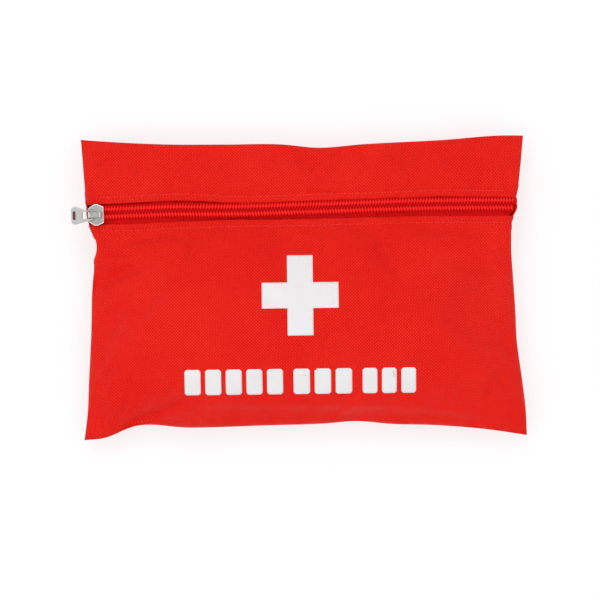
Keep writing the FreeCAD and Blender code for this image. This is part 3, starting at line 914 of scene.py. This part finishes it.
def metal_piece(name, meshes, place, body, finish):
    """One metal piece from several meshes made at the origin, put in its place, with crisp edges."""
    whole = bmesh.new()
    for mesh in meshes:
        whole.from_mesh(mesh)
    mesh = bpy.data.meshes.new(name)
    whole.to_mesh(mesh)
    whole.free()
    mesh.transform(place)
    mesh.polygons.foreach_set("use_smooth", [True] * len(mesh.polygons))
    mesh.set_sharp_from_angle(angle=math.radians(40))
    piece = placed(name, mesh)
    finish.on(piece)
    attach(piece, body)
    return piece


bright_nickel = nickel("bright_nickel", (0.93, 0.93, 0.92), 0.22, 420.0, 0.04 * MM)
along_zip = Matrix.Rotation(math.atan(zip_slope), 4, "Z")
body_low, body_high = slider_low.z / MM, slider_high.z / MM
plate_low = body_high - PLATE_TOP
other_rail = [(x, -y, r) for x, y, r in RAIL_OUTLINE[::-1]]
slider_parts = [
    stamped([PLATE_OUTLINE], plate_low, body_high, 0.34),
    stamped([PLATE_OUTLINE], body_low, body_low + PLATE_BOTTOM, 0.3),
    stamped([RAIL_OUTLINE], plate_low - RAIL_DEPTH, plate_low + OVERLAP, 0.08),
    stamped([other_rail], plate_low - RAIL_DEPTH, plate_low + OVERLAP, 0.08),
    stamped([POST_OUTLINE], body_low + PLATE_BOTTOM - OVERLAP, plate_low + OVERLAP, 0.1),
]
on_zip = Matrix.Translation((zip_start.x * MM, zip_start.y * MM, 0)) @ along_zip
slider = metal_piece("zip_slider", slider_parts, on_zip, "slider", bright_nickel)
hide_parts("slider_body")
bright_nickel.on(frame["nodes"]["slider_bridge"])


# ---- Pull
# A tumbled pull, wide at its free end, hooked round the slider's strap by a bar. A slot near its tip
# holds a dark red filling. It hangs down a little over the end of the pouch.

BAR = 0.7
BAR_ENDS = (-1.95, 1.7)
PULL_THICK = 1.2
PULL_EDGE = 0.32
PULL_DROOP = 13.0
INLAY_SUNK = 0.2
PULL_OUTLINE = [(0.62, 1.95, 0.45), (-2.9, 2.1, 1.5), (-7.7, 4.15, 1.6), (-9.5, 3.0, 1.5), (-9.5, -3.2, 1.5),
                (-8.2, -4.2, 1.6), (-2.9, -2.9, 1.5), (0.62, -2.3, 0.45)]
PULL_WINDOW = [(-0.62, 1.5, 0.3), (-4.4, 1.5, 0.5), (-4.4, -1.6, 0.5), (-0.62, -1.5, 0.3)]
PULL_SLOT = [(-7.55, 1.9, 0.5), (-8.7, 1.7, 0.55), (-8.7, -1.8, 0.55), (-7.55, -2.0, 0.5)]

tumbled_nickel = nickel("tumbled_nickel", (0.58, 0.59, 0.57), 0.40, 650.0, 0.07 * MM)
tab_low, tab_high = (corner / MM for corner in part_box("pull_tab"))
pivot_x = tab_high.x - BAR
pivot = Vector((pivot_x, zip_line(pivot_x) - zip_wave(pivot_x), tab_high.z - BAR)) * MM
hanging = Matrix.Translation(pivot) @ along_zip @ Matrix.Rotation(-math.radians(PULL_DROOP), 4, "Y")
bar_line = [(0, y * MM, 0) for y in np.linspace(*BAR_ENDS, 6)]
bar_places, bar_faces = tube(bar_line, np.full(6, BAR * MM), 16)
bar = bpy.data.meshes.new("bar")
bar.from_pydata(bar_places.tolist(), [], bar_faces)
half = PULL_THICK / 2
plate = stamped([PULL_OUTLINE, PULL_WINDOW, PULL_SLOT], -half, half, PULL_EDGE)
pull = metal_piece("zip_pull", [plate, bar], hanging, "pull", tumbled_nickel)
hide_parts("pull_tab")

slot_filling = Finish("dark_red_slot_filling", (0.10, 0.008, 0.01), 0.3, Coat_Weight=0.4)
speck = slot_filling.noise(900.0, 2.0)
slot_filling.put("Base Color", slot_filling.mix(speck, (0.07, 0.005, 0.006, 1), (0.17, 0.012, 0.014, 1)))
filled_slot = stamped([PULL_SLOT], INLAY_SUNK - half, half - INLAY_SUNK, 0.08)
metal_piece("zip_pull_inlay", [filled_slot], hanging, "pull", slot_filling)


# ---- White print
# Screen-printed ink on the lower front: a plain plus, and under it a row of plain blocks in three groups.
# The film is thin enough to show a trace of the weave and follows every bulge of the cloth.

INK_LIFT = 0.05
INK_THICK = 0.03
INK_STEP = 0.9


def ink(name, films, node):
    """Thin films on the cloth. Each is a grid of places in millimetres and which of its cells are inked."""
    parts = []
    for x, y, inked in films:
        places = []
        for px, py in zip(x.ravel(), y.ravel()):
            place, normal = find_lower(px * MM, py * MM)
            places.append(place + normal * INK_LIFT * MM)
        cells = quads(np.arange(x.size).reshape(x.shape))
        parts.append((places, [cell for cell, on in zip(cells, inked.ravel()) if on]))
    piece = joined(name, parts)
    loose = bmesh.new()
    loose.from_mesh(piece.data)
    bmesh.ops.delete(loose, geom=[v for v in loose.verts if not v.link_faces], context="VERTS")
    loose.to_mesh(piece.data)
    loose.free()
    mark_lie(piece, [tuple(v.co) for v in piece.data.vertices])
    thicken(piece, INK_THICK * MM)
    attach(piece, "pouch")
    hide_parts(node)
    return piece


def plus_film(centre, wide, tall, bar):
    """A plus with even bars, on one grid whose lines run along the bars' edges."""
    lines = []
    for size in (wide, tall):
        outer = np.linspace(bar / 2, size / 2, round((size - bar) / 2 / INK_STEP) + 1)
        inner = np.linspace(-bar / 2, bar / 2, round(bar / INK_STEP) + 1)
        lines.append(np.concatenate([-outer[:0:-1], inner, outer[1:]]))
    x, y = np.meshgrid(*lines)
    middle_x, middle_y = (np.abs(g[:-1, :-1] + g[1:, 1:]) / 2 for g in (x, y))
    return centre[0] + x, centre[1] + y, (middle_x < bar / 2) | (middle_y < bar / 2)


def block_film(centre, wide, tall, corner):
    """A block with rounded corners."""
    down = np.linspace(-1, 1, math.ceil(tall / INK_STEP) + 1) * tall / 2
    over = np.maximum(0, np.abs(down) - (tall / 2 - corner))
    half = wide / 2 - corner + np.sqrt(np.maximum(0, corner ** 2 - over ** 2))
    x = half[:, None] * np.linspace(-1, 1, math.ceil(wide / INK_STEP) + 1)[None, :]
    y = down[:, None] + 0 * x
    return centre[0] + x, centre[1] + y, np.ones((x.shape[0] - 1, x.shape[1] - 1), bool)


cross_low, cross_high = (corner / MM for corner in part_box("printed_cross"))
cross_centre = (cross_low + cross_high) / 2
CROSS_BAR = 11.4
plus = plus_film(cross_centre, cross_high.x - cross_low.x, cross_high.y - cross_low.y, CROSS_BAR)
cross = ink("print_cross", [plus], "printed_cross")

BLOCK_GROUPS = [(5, 43.5), (3, 25.9), (3, 23.6)]
BLOCK_SPACE = 2.0
GROUP_SPACE = 4.6
BLOCK_CORNER = 0.9
blocks_low, blocks_high = (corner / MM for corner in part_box("printed_bars"))
blocks = []
group_start = blocks_low.x
for count, length in BLOCK_GROUPS:
    pitch = (length + BLOCK_SPACE) / count
    for number in range(count):
        centre = group_start + number * pitch + (pitch - BLOCK_SPACE) / 2, (blocks_low.y + blocks_high.y) / 2
        blocks.append(block_film(centre, pitch - BLOCK_SPACE, blocks_high.y - blocks_low.y, BLOCK_CORNER))
    group_start += length + GROUP_SPACE
print_blocks = ink("print_blocks", blocks, "printed_bars")

white_ink = Finish("white_ink", (0.79, 0.78, 0.79), 0.55, Specular_IOR_Level=0.2)
relief, over = plain_weave(white_ink, YARN)
patch = white_ink.noise(60.0, 3.0)
white_ink.put("Base Color", white_ink.mix((0.2 + 0.5 * relief + 0.5 * patch).clip(),
                                          (0.72, 0.69, 0.70, 1), (0.84, 0.83, 0.84, 1)))
white_ink.raise_surface(relief, 0.05 * MM)
white_ink.on(cross, print_blocks)


# ---- Packets inside
# Flat packs lie in a pile: a foil blanket, a triangular bandage, dressing strips, gauze pads and wipes.
# Each is a film or paper pouch, sealed flat with a crimp along its edges and plump in its middle.

SEAL = 2.6
SIDE_SPACE = 1.6
PACK_SPACE = 0.25
PACKET_CELLS = (26, 34)


def packet(low, high, seal, crinkle, seed):
    """One sealed packet that fills a box, in millimetres: places and faces."""
    rows, columns = PACKET_CELLS
    v, u = np.meshgrid(np.linspace(-1, 1, rows + 1), np.linspace(-1, 1, columns + 1), indexing="ij")
    half = (high - low) / 2
    x, y = (low.x + high.x) / 2 + u * half.x, (low.y + high.y) / 2 + v * half.y
    inside = np.minimum((1 - np.abs(u)) * half.x, (1 - np.abs(v)) * half.y)
    plump = smooth((inside - seal) / 5.0)
    creases = crinkle * ripple(x, y, 7.0, seed) * plump
    crimp = 0.07 * np.sin(2 * math.pi * (x + y) / 1.8) * (1 - plump)
    thick = np.maximum(0.06, half.z * (0.10 + 0.86 * plump))
    middle_z = (low.z + high.z) / 2 + crimp
    top = np.stack([x, y, middle_z + thick - np.abs(creases)], -1)
    bottom = np.stack([x, y, middle_z - thick + np.abs(creases) * 0.5], -1)
    top_index = np.arange(top[..., 0].size).reshape(rows + 1, columns + 1)
    bottom_index = top_index.copy()
    bottom_index[1:-1, 1:-1] = top_index.size + np.arange((rows - 1) * (columns - 1)).reshape(rows - 1, -1)
    places = np.concatenate([top.reshape(-1, 3), bottom[1:-1, 1:-1].reshape(-1, 3)]) * MM
    return places, quads(top_index) + [face[::-1] for face in quads(bottom_index)]


def packets(name, node, across, up, layers, seal=SEAL, crinkle=0.1):
    """A pile of like packets that fills a node's box: how many across, up the pouch, and in layers."""
    low, high = (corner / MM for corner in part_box(node))
    counts = Vector((across, up, layers))
    space = Vector([SIDE_SPACE if n > 1 else 0.0 for n in (across, up)] + [PACK_SPACE])
    size = Vector([(h - l - g * (n - 1)) / n for h, l, g, n in zip(high, low, space, counts)])
    parts = []
    for i in range(across):
        for j in range(up):
            for k in range(layers):
                corner = low + Vector([n * (l + g) for n, l, g in zip((i, j, k), size, space)])
                parts.append(packet(corner, corner + size, seal, crinkle, 5.0 + i + 3 * j + 7 * k))
    piece = joined(name, parts)
    mark_lie(piece, [tuple(v.co) for v in piece.data.vertices])
    tuck(piece, 1.0)
    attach(piece, "pouch")
    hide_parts(node)
    return piece


def film(name, dark, light, roughness, grain, depth, **even):
    """A packet's film or paper, crinkled by handling."""
    finish = Finish(name, light, roughness, **even)
    crinkles = finish.noise(grain, 4.0)
    finish.put("Base Color", finish.mix(crinkles, (*dark, 1), (*light, 1)))
    finish.put("Roughness", (roughness - 0.1 + 0.2 * crinkles).clip())
    finish.raise_surface(crinkles, depth)
    return finish


silver_film = film("silver_film", (0.55, 0.56, 0.58), (0.82, 0.83, 0.85), 0.28, 160.0, 0.5 * MM, Metallic=0.9)
wrapper_paper = film("wrapper_paper", (0.72, 0.72, 0.70), (0.88, 0.88, 0.86), 0.75, 500.0, 0.08 * MM)
sachet_film = film("sachet_film", (0.60, 0.68, 0.76), (0.80, 0.85, 0.90), 0.38, 300.0, 0.12 * MM)
silver_film.on(packets("foil_blanket", "foil_blanket_pack", 1, 1, 1, seal=4.0, crinkle=0.5))
strips = packets("dressing_strips", "plaster_strips", 1, 2, 3, seal=1.8, crinkle=0.03)
wrapper_paper.on(strips)
gauze = packets("gauze_pads_wrapped", "gauze_pads", 1, 1, 3)
wrapper_paper.on(gauze)
sachet_film.on(packets("wipe_sachets", "alcohol_wipes", 2, 1, 3, crinkle=0.05))


def cotton(name, yarn, dark, light):
    """Bleached cotton, loosely woven."""
    finish = Finish(name, light, 0.9, Sheen_Weight=0.2, Specular_IOR_Level=0.2)
    relief, over = plain_weave(finish, yarn)
    finish.put("Base Color", finish.mix((0.3 + 0.7 * relief).clip(), (*dark, 1), (*light, 1)))
    finish.raise_surface(relief, 0.2 * MM)
    return finish


bleached_cotton = cotton("bleached_cotton", 0.6 * MM, (0.62, 0.60, 0.55), (0.88, 0.87, 0.83))
bandage = packets("triangular_bandage", "triangular_bandage_pack", 1, 1, 1,
                  seal=1.2, crinkle=0.3)
bleached_cotton.on(bandage)


# ---- Rolls inside
# A cotton bandage wound on itself lies along the left, and a reel of cloth tape on a plastic core lies
# flat at the right. Each is one strip in a spiral, with its turns not quite in line.

TURN_POINTS = 40


def wound(name, node, axis, inner, outer, turns, thick):
    """A strip wound round an axis of a node's box: 1 for along Y, 2 for upright."""
    low, high = (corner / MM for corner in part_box(node))
    centre, half = (low + high) / 2, (high - low) / 2
    angle = np.linspace(0, 2 * math.pi * turns, turns * TURN_POINTS + 1)
    radius = inner + (outer - inner) * angle / angle[-1]
    stray = 0.25 * np.sin(angle * 0.37) + 0.15 * np.sin(angle * 0.91)
    along = np.linspace(-1, 1, 9)[:, None] * (half[axis] - 0.45) + stray[None, :]
    first, second = radius * np.cos(angle) + 0 * along, radius * np.sin(angle) + 0 * along
    order = [first, along, second] if axis == 1 else [first, second, along]
    grid = (np.stack(order, -1) + np.array(centre)) * MM
    piece = cloth_piece(name, grid, thick=thick * MM)
    tuck(piece, 1.0)
    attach(piece, "pouch")
    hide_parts(node)
    return piece


bleached_cotton.on(wound("bandage_wound", "bandage_roll", 1, 1.4, 9.3, 11, 0.45))
tape_cloth = cotton("cloth_tape", 0.35 * MM, (0.70, 0.66, 0.58), (0.86, 0.83, 0.77))
tape_cloth.on(wound("tape_wound", "tape_winding", 2, 10.3, 17.9, 15, 0.35))
core_plastic = film("core_plastic", (0.76, 0.77, 0.78), (0.84, 0.85, 0.86), 0.4, 90.0, 0.02 * MM)
core_plastic.on(frame["nodes"]["tape_core"])


# ---- Leaflet, tweezers and pins
# A folded sheet of plain paper under the packs, and small tools of bright steel beside them.

LEAFLET_PANELS = 4
LEAFLET_INSET = 0.3
LEAFLET_RISE = 0.14
CLEAR_OF_BACK = 3.0
leaf_low, leaf_high = (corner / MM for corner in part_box("guide_leaflet"))
leaf_line = []
for panel in range(LEAFLET_PANELS):
    ends = (leaf_low.x + LEAFLET_INSET, leaf_high.x - LEAFLET_INSET)[::1 if panel % 2 == 0 else -1]
    level = leaf_low.z + 0.2 + panel * LEAFLET_RISE
    for i, x in enumerate(np.linspace(*ends, 12)):
        leaf_line.append((x, level + 0.12 * math.sin(i * 0.9) ** 2 * (i % 2)))
leaf_y = np.linspace(leaf_low.y + CLEAR_OF_BACK, leaf_high.y, 9)
leaf_grid = np.array([[(x, y, z) for x, z in leaf_line] for y in leaf_y]) * MM
leaflet = cloth_piece("leaflet", leaf_grid, thick=0.07 * MM)
leaf_paper = film("leaflet_paper", (0.78, 0.79, 0.80), (0.88, 0.89, 0.90), 0.7, 700.0, 0.03 * MM)
leaf_paper.on(leaflet)
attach(leaflet, "pouch")
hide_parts("guide_leaflet")

tool_steel = nickel("tool_steel", (0.70, 0.71, 0.72), 0.3, 300.0, 0.02 * MM)
tool_steel.on(frame["nodes"]["tweezers"], frame["nodes"]["safety_pins"])


# ---- Floor and light
# A plain white table top that glows a little, and three soft lamps, the strongest beyond the top seam.
# The room is white, brightest halfway between level and overhead.

FLOOR_GLOW = 0.68
ROOM_TONES = [(0.0, 0.50), (0.45, 0.72), (0.70, 1.12), (0.88, 1.12), (0.97, 0.48), (1.0, 0.42)]

floor = mesh_piece("floor", [(-3, -3, 0), (3, -3, 0), (3, 3, 0), (-3, 3, 0)], [(0, 1, 2, 3)])
floor_finish = Finish("floor_paint", (0.31, 0.31, 0.32), 0.9, Specular_IOR_Level=0.0,
                      Emission_Color=(1.0, 1.0, 1.0, 1.0), Emission_Strength=FLOOR_GLOW)
floor_finish.on(floor)


def lamp(name, place, size, watts):
    """A square soft lamp aimed at the pouch."""
    data = bpy.data.lights.new(name, "AREA")
    data.size = size
    data.energy = watts
    light = placed(name, data)
    light.location = place
    light.rotation_euler = (-Vector(place)).to_track_quat("-Z", "Y").to_euler()


lamp("key", (-0.2, 1.0, 1.1), 0.7, 3.8)
lamp("side", (-1.1, -0.5, 0.8), 0.7, 1.5)
lamp("front", (0.3, -1.1, 0.8), 0.9, 2.2)
room = bpy.data.worlds.new("room")
bpy.context.scene.world = room
room.use_nodes = True
room_light = Shading(room.node_tree)
looking = room_light.node("ShaderNodeTexCoord", output="Generated")
rise = room_light.node("ShaderNodeSeparateXYZ", {}, {0: looking}, "Z")
tones = room_light.node("ShaderNodeValToRGB", {"stops": ROOM_TONES}, {"Fac": rise})
room_light.tree.links.new(tones.socket, room.node_tree.nodes["Background"].inputs["Color"])
